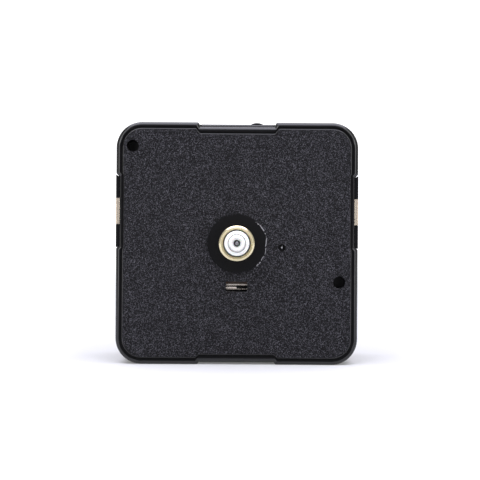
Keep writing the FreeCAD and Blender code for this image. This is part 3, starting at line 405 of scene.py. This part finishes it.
# Circuit board: brown phenolic paper laminate, punched and pressed on the case's two pegs.
# The paper's fibres lie flat in the board and show as short darker streaks under the resin.
fibre_width = 0.12 * mm
fibre_length = 1.2 * mm
fibre_detail = 3.0
fibre_brown = linear("#5a3118")
resin_brown = linear("#9a6238")
phenolic, tree, shader = new_material("phenolic_paper_laminate")
shader.inputs["IOR"].default_value = 1.6
shader.inputs["Roughness"].default_value = 0.35
point = add_node(tree, "ShaderNodeTexCoord", {}, {})
along = add_node(tree, "ShaderNodeMapping",
                 {"Scale": (1 / fibre_length, 1 / fibre_width, 1 / fibre_width)},
                 {"Vector": point.outputs["Object"]})
fibres = add_node(tree, "ShaderNodeTexNoise", {"Scale": 1.0, "Detail": fibre_detail},
                  {"Vector": along.outputs[0]})
tone = add_node(tree, "ShaderNodeMix", {"data_type": "RGBA", 6: fibre_brown, 7: resin_brown},
                {0: fibres.outputs["Fac"]})
tree.links.new(tone.outputs[2], shader.inputs["Base Color"])
dress(("circuit_board",), phenolic)


# Chip: the bare circuit, glued to the board under a drop of black epoxy.
# The drop is poured and cures with a glossy, slightly wavy skin.
skin_wave_width = 1.2 * mm
skin_wave_depth = 0.03 * mm
epoxy_black = linear("#0c0c0c")
epoxy, tree, shader = new_material("cast_black_epoxy")
shader.inputs["Base Color"].default_value = epoxy_black
shader.inputs["IOR"].default_value = 1.55
shader.inputs["Roughness"].default_value = 0.3
point = add_node(tree, "ShaderNodeTexCoord", {}, {})
waves = add_node(tree, "ShaderNodeTexNoise", {"Scale": 1 / skin_wave_width},
                 {"Vector": point.outputs["Object"]})
skin = add_node(tree, "ShaderNodeBump", {"Distance": skin_wave_depth}, {"Height": waves.outputs["Fac"]})
tree.links.new(skin.outputs[0], shader.inputs["Normal"])
dress(("chip_blob",), epoxy)


# Quartz crystal: sealed in a tinned can of nickel silver, which lies flat on the circuit board.
# The can is deep drawn, and the die leaves fine bright lines along its length.
draw_line_width = 0.05 * mm
draw_line_length = 4.0 * mm
draw_detail = 2.0
can_shade = linear("#bdbdb9")
can_light = linear("#e0e0de")
can_smoothest = 0.15
can_roughest = 0.3
tinned_can, tree, shader = new_material("drawn_tinned_can")
shader.inputs["Metallic"].default_value = 1.0
point = add_node(tree, "ShaderNodeTexCoord", {}, {})
along = add_node(tree, "ShaderNodeMapping",
                 {"Scale": (1 / draw_line_length, 1 / draw_line_width, 1 / draw_line_width)},
                 {"Vector": point.outputs["Object"]})
lines = add_node(tree, "ShaderNodeTexNoise", {"Scale": 1.0, "Detail": draw_detail},
                 {"Vector": along.outputs[0]})
tone = add_node(tree, "ShaderNodeMix", {"data_type": "RGBA", 6: can_shade, 7: can_light},
                {0: lines.outputs["Fac"]})
gloss = add_node(tree, "ShaderNodeMapRange", {"To Min": can_smoothest, "To Max": can_roughest},
                 {"Value": lines.outputs["Fac"]})
tree.links.new(tone.outputs[2], shader.inputs["Base Color"])
tree.links.new(gloss.outputs[0], shader.inputs["Roughness"])
dress(("quartz_crystal",), tinned_can)


# Capacitor: a ceramic disc, dipped in tan resin and soldered to the circuit board.
# The resin dries with an orange-peel skin.
peel_width = 0.25 * mm
peel_depth = 0.02 * mm
resin_tan = linear("#b07c42")
dipped_ceramic, tree, shader = new_material("dipped_ceramic")
shader.inputs["Base Color"].default_value = resin_tan
shader.inputs["IOR"].default_value = 1.52
shader.inputs["Roughness"].default_value = 0.35
point = add_node(tree, "ShaderNodeTexCoord", {}, {})
peel = add_node(tree, "ShaderNodeTexNoise", {"Scale": 1 / peel_width}, {"Vector": point.outputs["Object"]})
skin = add_node(tree, "ShaderNodeBump", {"Distance": peel_depth}, {"Height": peel.outputs["Fac"]})
tree.links.new(skin.outputs[0], shader.inputs["Normal"])
dress(("capacitor",), dipped_ceramic)


# Rotor magnet: a ring of sintered ferrite, ground on its outside and pressed on the rotor's pinion.
# It is dark grey and dull, with brighter crystals as fine specks.
crystal_width = 0.12 * mm
ferrite_dark = linear("#28282b")
ferrite_bright = linear("#57575c")
ferrite, tree, shader = new_material("sintered_ferrite")
shader.inputs["IOR"].default_value = 2.0
shader.inputs["Roughness"].default_value = 0.45
point = add_node(tree, "ShaderNodeTexCoord", {}, {})
specks = add_node(tree, "ShaderNodeTexVoronoi", {"Scale": 1 / crystal_width},
                  {"Vector": point.outputs["Object"]})
speck_tone = add_node(tree, "ShaderNodeSeparateColor", {}, {0: specks.outputs["Color"]})
tone = add_node(tree, "ShaderNodeMix", {"data_type": "RGBA", 6: ferrite_dark, 7: ferrite_bright},
                {0: speck_tone.outputs[0]})
tree.links.new(tone.outputs[2], shader.inputs["Base Color"])
dress(("rotor_magnet",), ferrite)


# Train wheels and the rotor's pinion: natural acetal, injection moulded, chosen for low friction.
# It is ivory and waxy, and light creeps a little under its skin.
acetal_cloud_width = 1.0 * mm
acetal_creep = 0.4 * mm
acetal_shade = linear("#ddd8c8")
acetal_light = linear("#ece8dc")
acetal_smoothest = 0.25
acetal_roughest = 0.4
acetal_ior = 1.48
natural_acetal, tree, shader = new_material("natural_acetal")
shader.inputs["IOR"].default_value = acetal_ior
shader.inputs["Subsurface Weight"].default_value = 0.15
shader.inputs["Subsurface Scale"].default_value = acetal_creep
point = add_node(tree, "ShaderNodeTexCoord", {}, {})
cloud = add_node(tree, "ShaderNodeTexNoise", {"Scale": 1 / acetal_cloud_width},
                 {"Vector": point.outputs["Object"]})
tone = add_node(tree, "ShaderNodeMix", {"data_type": "RGBA", 6: acetal_shade, 7: acetal_light},
                {0: cloud.outputs["Fac"]})
gloss = add_node(tree, "ShaderNodeMapRange", {"To Min": acetal_smoothest, "To Max": acetal_roughest},
                 {"Value": cloud.outputs["Fac"]})
tree.links.new(tone.outputs[2], shader.inputs["Base Color"])
tree.links.new(gloss.outputs[0], shader.inputs["Roughness"])
dress(("centre_wheel", "seconds_wheel", "third_wheel", "intermediate_wheel", "rotor_pinion"), natural_acetal)


# Arbors, clutch spring and washer: hard steel, drawn or rolled and then tumbled bright.
# Tumbling leaves tiny dents that soften the highlight.
tumble_dent_width = 0.1 * mm
tumble_dent_depth = 0.002 * mm
steel_shade = linear("#68686c")
steel_light = linear("#8e8e91")
steel_smoothest = 0.25
steel_roughest = 0.4
steel, tree, shader = new_material("tumbled_bright_steel")
shader.inputs["Metallic"].default_value = 1.0
point = add_node(tree, "ShaderNodeTexCoord", {}, {})
dents = add_node(tree, "ShaderNodeTexNoise", {"Scale": 1 / tumble_dent_width},
                 {"Vector": point.outputs["Object"]})
tone = add_node(tree, "ShaderNodeMix", {"data_type": "RGBA", 6: steel_shade, 7: steel_light},
                {0: dents.outputs["Fac"]})
gloss = add_node(tree, "ShaderNodeMapRange", {"To Min": steel_smoothest, "To Max": steel_roughest},
                 {"Value": dents.outputs["Fac"]})
pits = add_node(tree, "ShaderNodeBump", {"Distance": tumble_dent_depth}, {"Height": dents.outputs["Fac"]})
tree.links.new(tone.outputs[2], shader.inputs["Base Color"])
tree.links.new(gloss.outputs[0], shader.inputs["Roughness"])
tree.links.new(pits.outputs[0], shader.inputs["Normal"])
dress(("seconds_arbor", "third_arbor", "intermediate_arbor", "rotor_arbor", "motion_arbor", "clutch_spring",
       "hour_wheel_washer"), steel)


# Hour and minute tubes, motion wheel and setting arbor: white acetal, moulded in polished tools.
# It is whiter than the train, with a soft shine and light that creeps a little under the skin.
white_cloud_width = 0.6 * mm
white_creep = 0.3 * mm
white_shade = linear("#e4e4e2")
white_light = linear("#f0f0ee")
white_smoothest = 0.2
white_roughest = 0.35
white_acetal, tree, shader = new_material("white_acetal")
shader.inputs["IOR"].default_value = acetal_ior
shader.inputs["Subsurface Weight"].default_value = 0.1
shader.inputs["Subsurface Scale"].default_value = white_creep
point = add_node(tree, "ShaderNodeTexCoord", {}, {})
cloud = add_node(tree, "ShaderNodeTexNoise", {"Scale": 1 / white_cloud_width},
                 {"Vector": point.outputs["Object"]})
tone = add_node(tree, "ShaderNodeMix", {"data_type": "RGBA", 6: white_shade, 7: white_light},
                {0: cloud.outputs["Fac"]})
gloss = add_node(tree, "ShaderNodeMapRange", {"To Min": white_smoothest, "To Max": white_roughest},
                 {"Value": cloud.outputs["Fac"]})
tree.links.new(tone.outputs[2], shader.inputs["Base Color"])
tree.links.new(gloss.outputs[0], shader.inputs["Roughness"])
dress(("hour_wheel", "cannon_pinion", "motion_wheel", "setting_arbor"), white_acetal)


# Front cover: the same black ABS, from a mould whose face was spark eroded, snapped on the rear case.
# The craters give the face a fine charcoal grain, 0.13 mm wide, and their sparkle is painted on as grey
# specks, which are painted glints. The roundings of the rim are polished. The seat for the dial, the flats
# and the deep walls of the sockets are smooth but dull.
face_half_width = 26.25 * mm
face_corner_r = 4.25 * mm
face_depth = 0.16 * mm
notch_half_width = 9.3 * mm
notch_face_half = 25.28 * mm
notch_face_shift = 0.2 * mm
seat_r = 6.85 * mm
seat_wobble_width = 0.4 * mm
seat_wobble = 1.6 * mm
# Sizes of the painted highlight along the seat's right edge.
painted_highlight_width = 0.1 * mm
painted_highlight_bend_width = 3.0 * mm
painted_highlight_bend = 1.2 * mm
painted_highlight_spot_width = 0.6 * mm
painted_highlight_spot_least = 0.46
painted_highlight_side_share = 0.66
socket_half_width = 26.9 * mm
socket_lead = 0.6 * mm
flat_facing = -0.992
crater_width = 0.13 * mm
crater_depth = 0.03 * mm
painted_glint_rarity = 6.0
cover_black = linear("#060608")
painted_glint_grey = linear("#5b5a61")
painted_highlight_grey = linear("#8c8c90")
polished_roughness = 0.2
dull_roughness = 0.5
polished_shine = 0.5
dull_shine = 0.1
corner_start = face_half_width - face_corner_r

cover_abs, tree, shader = new_material("spark_eroded_abs")
shader.inputs["IOR"].default_value = abs_ior
point = add_node(tree, "ShaderNodeTexCoord", {}, {})
place = add_node(tree, "ShaderNodeSeparateXYZ", {}, {0: point.outputs["Object"]})
facing = add_node(tree, "ShaderNodeSeparateXYZ", {}, {0: point.outputs["Normal"]})
flat = add_node(tree, "ShaderNodeVectorMath", {"operation": "MULTIPLY", 1: (1, 0, 1)},
                {0: point.outputs["Object"]})
side = add_node(tree, "ShaderNodeVectorMath", {"operation": "ABSOLUTE"}, {0: flat.outputs[0]})
sides = add_node(tree, "ShaderNodeSeparateXYZ", {}, {0: side.outputs[0]})
from_axis = add_node(tree, "ShaderNodeVectorMath", {"operation": "LENGTH"}, {0: flat.outputs[0]})

# The grain fills the face within its round corners, apart from the notches and the dial's seat.
beyond = add_node(tree, "ShaderNodeVectorMath",
                  {"operation": "SUBTRACT", 1: (corner_start, 0, corner_start)}, {0: side.outputs[0]})
beyond = add_node(tree, "ShaderNodeVectorMath", {"operation": "MAXIMUM", 1: (0, 0, 0)},
                  {0: beyond.outputs[0]})
beyond = add_node(tree, "ShaderNodeVectorMath", {"operation": "LENGTH"}, {0: beyond.outputs[0]})
in_corner = add_node(tree, "ShaderNodeMath", {"operation": "LESS_THAN", 1: face_corner_r},
                     {0: beyond.outputs["Value"]})
on_face = add_node(tree, "ShaderNodeMath", {"operation": "LESS_THAN", 1: face_depth},
                   {0: place.outputs["Y"]})
wobble = add_node(tree, "ShaderNodeTexNoise", {"Scale": 1 / seat_wobble_width},
                  {"Vector": point.outputs["Object"]})
seat_edge = add_node(tree, "ShaderNodeMapRange",
                     {"To Min": seat_r - seat_wobble / 2, "To Max": seat_r + seat_wobble / 2},
                     {"Value": wobble.outputs["Fac"]})
off_seat = add_node(tree, "ShaderNodeMath", {"operation": "GREATER_THAN"},
                    {0: from_axis.outputs["Value"], 1: seat_edge.outputs[0]})
shifted = add_node(tree, "ShaderNodeMath", {"operation": "ADD", 1: notch_face_shift},
                   {0: place.outputs["Z"]})
shifted = add_node(tree, "ShaderNodeMath", {"operation": "ABSOLUTE"}, {0: shifted.outputs[0]})
in_notch = add_node(tree, "ShaderNodeMath", {"operation": "LESS_THAN", 1: notch_face_half},
                    {0: shifted.outputs[0]})
by_notch = add_node(tree, "ShaderNodeMath", {"operation": "GREATER_THAN", 1: notch_half_width},
                    {0: sides.outputs["X"]})
grained = add_node(tree, "ShaderNodeMath", {"operation": "MAXIMUM"},
                   {0: by_notch.outputs[0], 1: in_notch.outputs[0]})
for passed in (off_seat, in_corner, on_face):
    grained = add_node(tree, "ShaderNodeMath", {"operation": "MULTIPLY"},
                       {0: grained.outputs[0], 1: passed.outputs[0]})

# A thin broken line of painted highlight runs along the seat's edge on the right, where that edge catches the
# right-hand lamp, and wanders a little.
spots = add_node(tree, "ShaderNodeTexNoise", {"Scale": 1 / painted_highlight_spot_width},
                 {"Vector": point.outputs["Object"]})
spotted = add_node(tree, "ShaderNodeMath", {"operation": "GREATER_THAN", 1: painted_highlight_spot_least},
                   {0: spots.outputs["Fac"]})
bend = add_node(tree, "ShaderNodeTexNoise", {"Scale": 1 / painted_highlight_bend_width},
                {"Vector": point.outputs["Object"]})
painted_highlight_r = add_node(tree, "ShaderNodeMapRange",
                     {"To Min": seat_r - painted_highlight_bend / 2, "To Max": seat_r + painted_highlight_bend / 2},
                     {"Value": bend.outputs["Fac"]})
on_edge = add_node(tree, "ShaderNodeMath", {"operation": "COMPARE", 2: painted_highlight_width},
                   {0: from_axis.outputs["Value"], 1: painted_highlight_r.outputs[0]})
rightward = add_node(tree, "ShaderNodeMath", {"operation": "DIVIDE"},
                     {0: place.outputs["X"], 1: from_axis.outputs["Value"]})
on_right = add_node(tree, "ShaderNodeMath", {"operation": "GREATER_THAN", 1: painted_highlight_side_share},
                    {0: rightward.outputs[0]})
painted_seat_highlight = add_node(tree, "ShaderNodeMath", {"operation": "MULTIPLY"},
                     {0: spotted.outputs[0], 1: on_edge.outputs[0]})
for passed in (on_right, on_face):
    painted_seat_highlight = add_node(tree, "ShaderNodeMath", {"operation": "MULTIPLY"},
                         {0: painted_seat_highlight.outputs[0], 1: passed.outputs[0]})

# Dull parts: the grain, the seat, whatever faces squarely forward, and the walls behind the face.
deep = add_node(tree, "ShaderNodeMath", {"operation": "GREATER_THAN", 1: socket_lead},
                {0: place.outputs["Y"]})
for axis in ("X", "Z"):
    within = add_node(tree, "ShaderNodeMath", {"operation": "LESS_THAN", 1: socket_half_width},
                      {0: sides.outputs[axis]})
    deep = add_node(tree, "ShaderNodeMath", {"operation": "MULTIPLY"},
                    {0: deep.outputs[0], 1: within.outputs[0]})
on_seat = add_node(tree, "ShaderNodeMath", {"operation": "LESS_THAN"},
                   {0: from_axis.outputs["Value"], 1: seat_edge.outputs[0]})
on_flat = add_node(tree, "ShaderNodeMath", {"operation": "LESS_THAN", 1: flat_facing},
                   {0: facing.outputs["Y"]})
dull = grained
for matt in (deep, on_seat, on_flat):
    dull = add_node(tree, "ShaderNodeMath", {"operation": "MAXIMUM"},
                    {0: dull.outputs[0], 1: matt.outputs[0]})

craters = add_node(tree, "ShaderNodeTexVoronoi", {"Scale": 1 / crater_width},
                   {"Vector": point.outputs["Object"]})
crater_tone = add_node(tree, "ShaderNodeSeparateColor", {}, {0: craters.outputs["Color"]})
# Painted glints: a few crater cells are painted grey where their facets would catch the lamps. The craters'
# own relief is the bump below.
painted_glint = add_node(tree, "ShaderNodeMath", {"operation": "POWER", 1: painted_glint_rarity},
                 {0: crater_tone.outputs[0]})
painted_glint = add_node(tree, "ShaderNodeMath", {"operation": "MULTIPLY"},
                 {0: painted_glint.outputs[0], 1: grained.outputs[0]})
tone = add_node(tree, "ShaderNodeMix", {"data_type": "RGBA", 6: cover_black, 7: painted_glint_grey},
                {0: painted_glint.outputs[0]})
# The seat's right edge is painted light grey here, a painted highlight.
tone = add_node(tree, "ShaderNodeMix", {"data_type": "RGBA", 7: painted_highlight_grey},
                {0: painted_seat_highlight.outputs[0], 6: tone.outputs[2]})
height = add_node(tree, "ShaderNodeMath", {"operation": "MULTIPLY"},
                  {0: craters.outputs["Distance"], 1: grained.outputs[0]})
pits = add_node(tree, "ShaderNodeBump", {"Distance": crater_depth}, {"Height": height.outputs[0]})
gloss = add_node(tree, "ShaderNodeMapRange", {"To Min": polished_roughness, "To Max": dull_roughness},
                 {"Value": dull.outputs[0]})
shine = add_node(tree, "ShaderNodeMapRange", {"To Min": polished_shine, "To Max": dull_shine},
                 {"Value": dull.outputs[0]})
tree.links.new(tone.outputs[2], shader.inputs["Base Color"])
tree.links.new(gloss.outputs[0], shader.inputs["Roughness"])
tree.links.new(shine.outputs[0], shader.inputs["Specular IOR Level"])
tree.links.new(pits.outputs[0], shader.inputs["Normal"])
dress(("front_cover",), cover_abs)


# Threaded bush: free-cutting brass, turned from bar, with a fine M8 thread of 0.75 mm pitch. Its root
# is pressed into the front cover. The tool leaves fine rings on the face, which catch the light from
# the sides and spread it to a cream sheen.
def apply_modifier(piece, kind, **settings):
    """Add a modifier with its settings, and apply it."""
    modifier = piece.modifiers.new(kind.lower(), kind)
    for name, value in settings.items():
        setattr(modifier, name, value)
    bpy.context.view_layer.objects.active = piece
    bpy.ops.object.modifier_apply(modifier=modifier.name)


def turned_rod(name, front_r, back_r, front, back):
    """A rod or cone along the hand axis."""
    piece = start_piece(name, bpy.ops.mesh.primitive_cone_add, vertices=turning_sides, radius1=back_r,
                        radius2=front_r, depth=back - front, location=(0, (front + back) / 2, 0),
                        rotation=(math.pi / 2, 0, 0))
    bpy.ops.object.mode_set(mode="OBJECT")
    return piece


def combine(piece, operation, other):
    """Join, cut or keep the overlap of a piece with another, which is used up."""
    apply_modifier(piece, "BOOLEAN", operation=operation, object=other, solver="MANIFOLD")
    bpy.data.objects.remove(other)


turning_sides = 128
thread_pitch = 0.75 * mm
thread_r = 4.0 * mm
thread_root_r = 3.64 * mm
crest_width = 0.1 * mm
flank_width = 0.22 * mm
bush_front = -7.0 * mm
bush_shoulder = 0.1 * mm
bush_end = 1.55 * mm
land_r = 3.93 * mm
land_width = 0.6 * mm
bush_root_r = 3.6 * mm
bush_bore_r = 3.1 * mm
bush_chamfer = 0.35 * mm
bore_chamfer = 0.45 * mm
past_end = 1.0 * mm
thread_steps = 96
merge_gap = 0.001 * mm
smooth_angle = math.radians(25)
thread_depth = thread_r - thread_root_r
root_width = thread_pitch - crest_width - 2 * flank_width
turns = math.ceil((bush_shoulder - bush_front + 4 * past_end) / thread_pitch)

# One pitch of the thread's outline starts as a point and is swept round the axis as a screw.
bush = start_piece("brass_bush", bpy.ops.mesh.primitive_plane_add, size=crest_width,
                   location=(thread_root_r, bush_front - 2 * past_end, 0))
bpy.ops.mesh.select_all(action="SELECT")
bpy.ops.mesh.merge(type="CENTER")
for run in ((0, root_width, 0), (thread_depth, flank_width, 0),
            (0, crest_width, 0), (-thread_depth, flank_width, 0)):
    bpy.ops.mesh.extrude_region_move(TRANSFORM_OT_translate={"value": run})
bpy.ops.object.mode_set(mode="OBJECT")
apply_modifier(bush, "SCREW", axis="Y", screw_offset=thread_pitch, iterations=turns,
               steps=thread_steps, render_steps=thread_steps)
bpy.ops.object.mode_set(mode="EDIT")
bpy.ops.mesh.select_all(action="SELECT")
bpy.ops.mesh.remove_doubles(threshold=merge_gap)
bpy.ops.mesh.fill_holes(sides=0)
bpy.ops.mesh.normals_make_consistent(inside=False)
bpy.ops.object.mode_set(mode="OBJECT")

# The plain land at the mouth is joined on, and the rod is faced, chamfered, given its root and bored.
land = turned_rod("land", land_r, land_r, bush_front - past_end, bush_front + land_width)
combine(bush, "UNION", land)
blank = turned_rod("blank", thread_r + past_end, thread_r + past_end, bush_front, bush_shoulder)
combine(bush, "INTERSECT", blank)
cone_front_r = thread_r - bush_chamfer - past_end
cone_length = bush_shoulder - bush_front + 2 * past_end
cone = turned_rod("cone", cone_front_r, cone_front_r + cone_length,
                  bush_front - past_end, bush_shoulder + past_end)
combine(bush, "INTERSECT", cone)
root = turned_rod("root", bush_root_r, bush_root_r, bush_shoulder - past_end, bush_end)
combine(bush, "UNION", root)
bore = turned_rod("bore", bush_bore_r, bush_bore_r, bush_front - past_end, bush_end + past_end)
combine(bush, "DIFFERENCE", bore)
mouth = turned_rod("mouth", bush_bore_r + bore_chamfer + past_end, bush_bore_r - past_end,
                   bush_front - past_end, bush_front + bore_chamfer + past_end)
combine(bush, "DIFFERENCE", mouth)
bpy.ops.object.shade_smooth_by_angle(angle=smooth_angle)

tool_mark_width = 0.05 * mm
tool_mark_depth = 0.006 * mm
tool_mark_detail = 3.0
brass_shade = linear("#e0d2a2")
brass_light = linear("#f2ead0")
brass_smoothest = 0.14
brass_roughest = 0.3
brass, tree, shader = new_material("turned_brass")
shader.inputs["Metallic"].default_value = 1.0
point = add_node(tree, "ShaderNodeTexCoord", {}, {})
flat = add_node(tree, "ShaderNodeVectorMath", {"operation": "MULTIPLY", 1: (1, 0, 1)},
                {0: point.outputs["Object"]})
from_axis = add_node(tree, "ShaderNodeVectorMath", {"operation": "LENGTH"}, {0: flat.outputs[0]})
depth = add_node(tree, "ShaderNodeSeparateXYZ", {}, {0: point.outputs["Object"]})
feed = add_node(tree, "ShaderNodeMath", {"operation": "ADD"},
                {0: from_axis.outputs["Value"], 1: depth.outputs["Y"]})
rings = add_node(tree, "ShaderNodeTexNoise",
                 {"noise_dimensions": "1D", "Scale": 1 / tool_mark_width, "Detail": tool_mark_detail},
                 {"W": feed.outputs[0]})
tone = add_node(tree, "ShaderNodeMix", {"data_type": "RGBA", 6: brass_shade, 7: brass_light},
                {0: rings.outputs["Fac"]})
gloss = add_node(tree, "ShaderNodeMapRange", {"To Min": brass_smoothest, "To Max": brass_roughest},
                 {"Value": rings.outputs["Fac"]})
marks = add_node(tree, "ShaderNodeBump", {"Distance": tool_mark_depth}, {"Height": rings.outputs["Fac"]})
tree.links.new(tone.outputs[2], shader.inputs["Base Color"])
tree.links.new(gloss.outputs[0], shader.inputs["Roughness"])
tree.links.new(marks.outputs[0], shader.inputs["Normal"])
bush.data.materials.clear()
bush.data.materials.append(brass)
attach(bush, "case")
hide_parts("threaded_bush")
